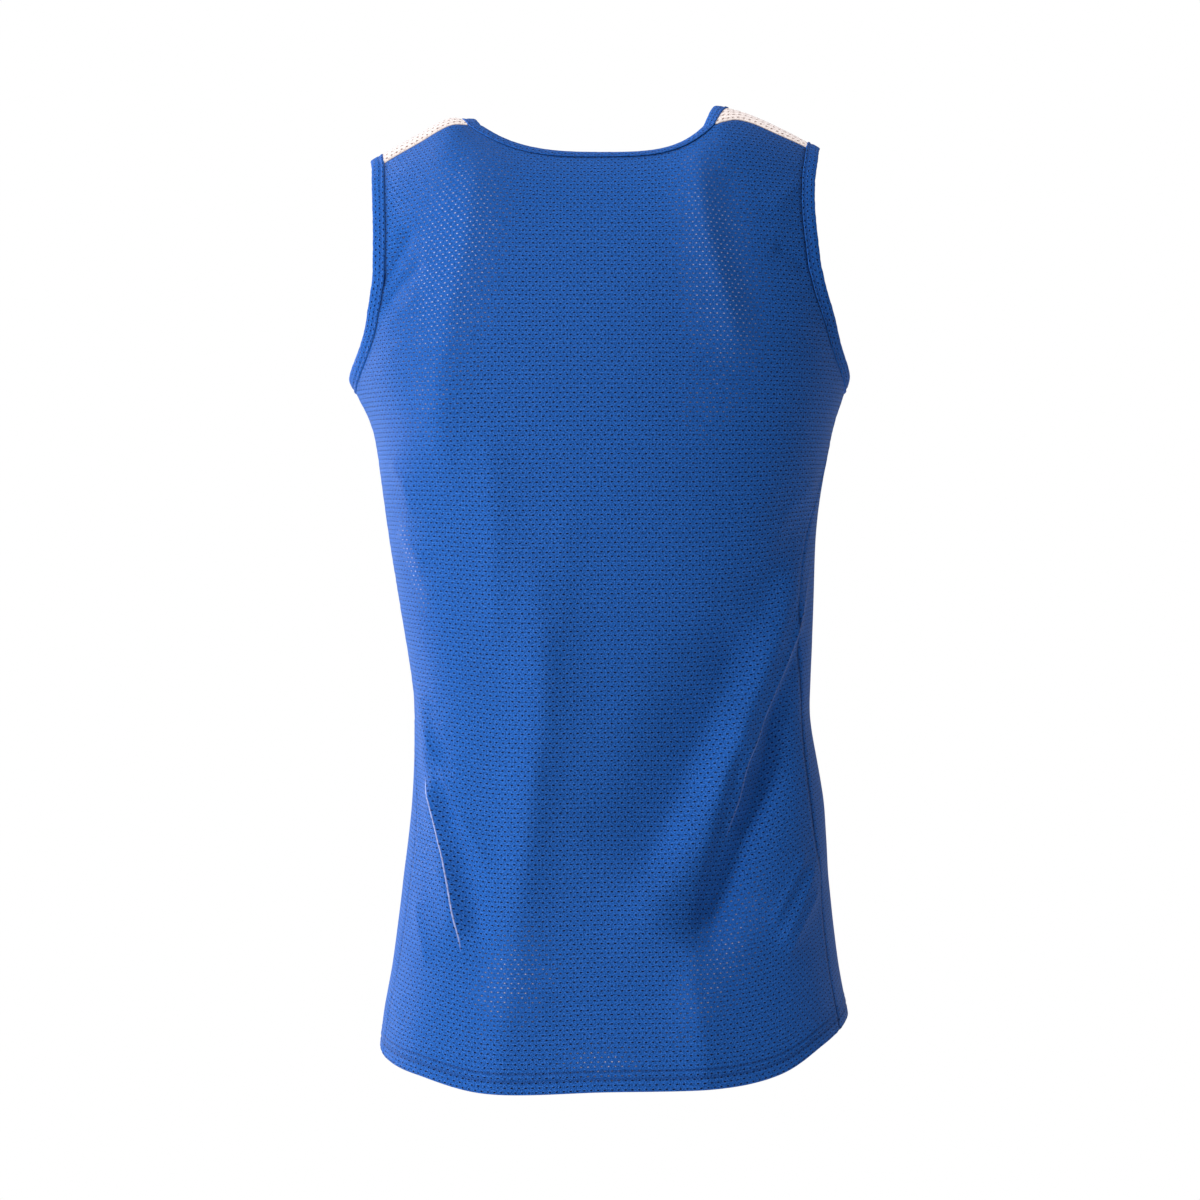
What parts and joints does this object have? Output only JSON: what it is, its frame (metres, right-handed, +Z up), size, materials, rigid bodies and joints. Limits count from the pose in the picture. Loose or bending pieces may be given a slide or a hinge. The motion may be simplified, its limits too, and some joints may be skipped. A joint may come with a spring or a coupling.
{
  "type": "basketball jersey",
  "caption": "Sleeveless basketball jersey in its hollow worn form: blue mesh body, white shoulder insets, bound neck and armholes, turned hem.",
  "frame": {"origin": "between the wearer's shoulders, at the height of the shoulder ridges beside the neck, where the jersey hangs from its wearer", "axes": "+Z up; -Y is the way the front of the jersey faces, +Y its back; +X is the wearer's left"},
  "size_m": [0.3885, 0.2344, 0.7568],
  "materials": {
    "body_mesh": "polyester eyelet mesh with a soft sheen",
    "inset_mesh": "white polyester eyelet mesh, matt",
    "binding_knit": "plain folded polyester knit, matt"
  },
  "bodies": {
    "root": {"back": "body_mesh", "front": "body_mesh", "shoulder_inset_left": "inset_mesh", "shoulder_inset_right": "inset_mesh", "neck_binding": "binding_knit", "armhole_binding_left": "binding_knit", "armhole_binding_right": "binding_knit"}
  },
  "joints": []
}
